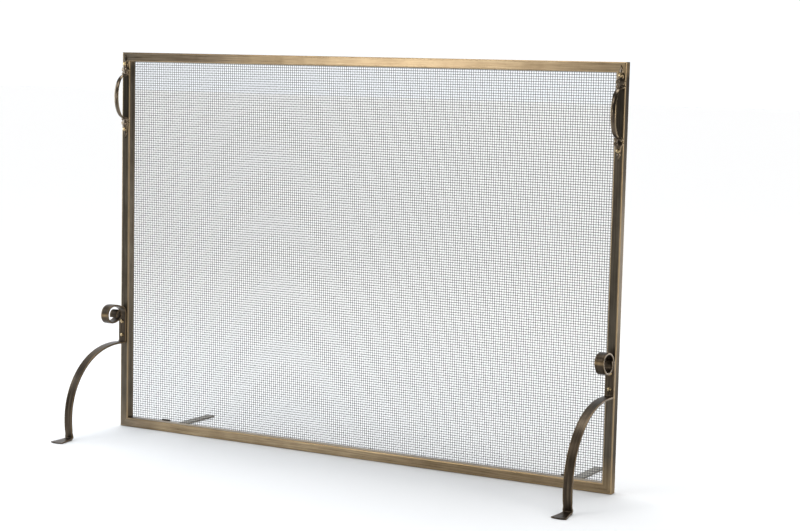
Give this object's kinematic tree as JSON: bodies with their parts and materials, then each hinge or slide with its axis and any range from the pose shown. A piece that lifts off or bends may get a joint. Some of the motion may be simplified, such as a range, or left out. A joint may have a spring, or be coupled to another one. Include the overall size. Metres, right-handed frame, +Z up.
{
  "type": "fireplace screen",
  "caption": "Flat free-standing fireplace screen: square-tube frame, woven wire mesh panel, scrolled front legs, rear feet and bow handles.",
  "frame": {"origin": "middle of the bottom rail's flat underside, which stands on the hearth with the feet", "axes": "+X along the width to the viewer's right, +Y backwards to the fire, +Z up"},
  "size_m": [1.1298, 0.4111, 0.7874],
  "materials": {
    "frame": "satin antique bronze with rubbed brassy streaks",
    "wire": "matte dark grey",
    "strip": "matte dark bronze",
    "leg": "satin dark antique bronze",
    "handle": "aged dark brass, rubbed bright on the high spots",
    "brass": "aged brass",
    "screw": "dark zinc"
  },
  "bodies": {
    "root": {"top_rail": "frame", "bottom_rail": "frame", "left_stile": "frame", "right_stile": "frame", "wire_mesh": "wire", "top_strip": "strip", "bottom_strip": "strip", "left_strip": "strip", "right_strip": "strip", "left_rear_foot": "strip", "right_rear_foot": "strip", "left_leg": "leg", "left_handle": "handle", "right_leg": "leg", "right_handle": "handle", "left_handle_screw_1": "brass", "left_leg_screw_1": "brass", "left_foot_screw_1": "screw", "left_handle_screw_2": "brass", "left_leg_screw_2": "brass", "left_foot_screw_2": "screw", "left_strip_screw_1": "screw", "left_strip_screw_2": "screw", "left_strip_screw_3": "screw", "right_handle_screw_1": "brass", "right_leg_screw_1": "brass", "right_foot_screw_1": "screw", "right_handle_screw_2": "brass", "right_leg_screw_2": "brass", "right_foot_screw_2": "screw", "right_strip_screw_1": "screw", "right_strip_screw_2": "screw", "right_strip_screw_3": "screw", "top_strip_screw_1": "screw", "top_strip_screw_2": "screw", "top_strip_screw_3": "screw", "top_strip_screw_4": "screw", "bottom_strip_screw_1": "screw", "bottom_strip_screw_2": "screw", "bottom_strip_screw_3": "screw", "bottom_strip_screw_4": "screw"}
  },
  "joints": []
}
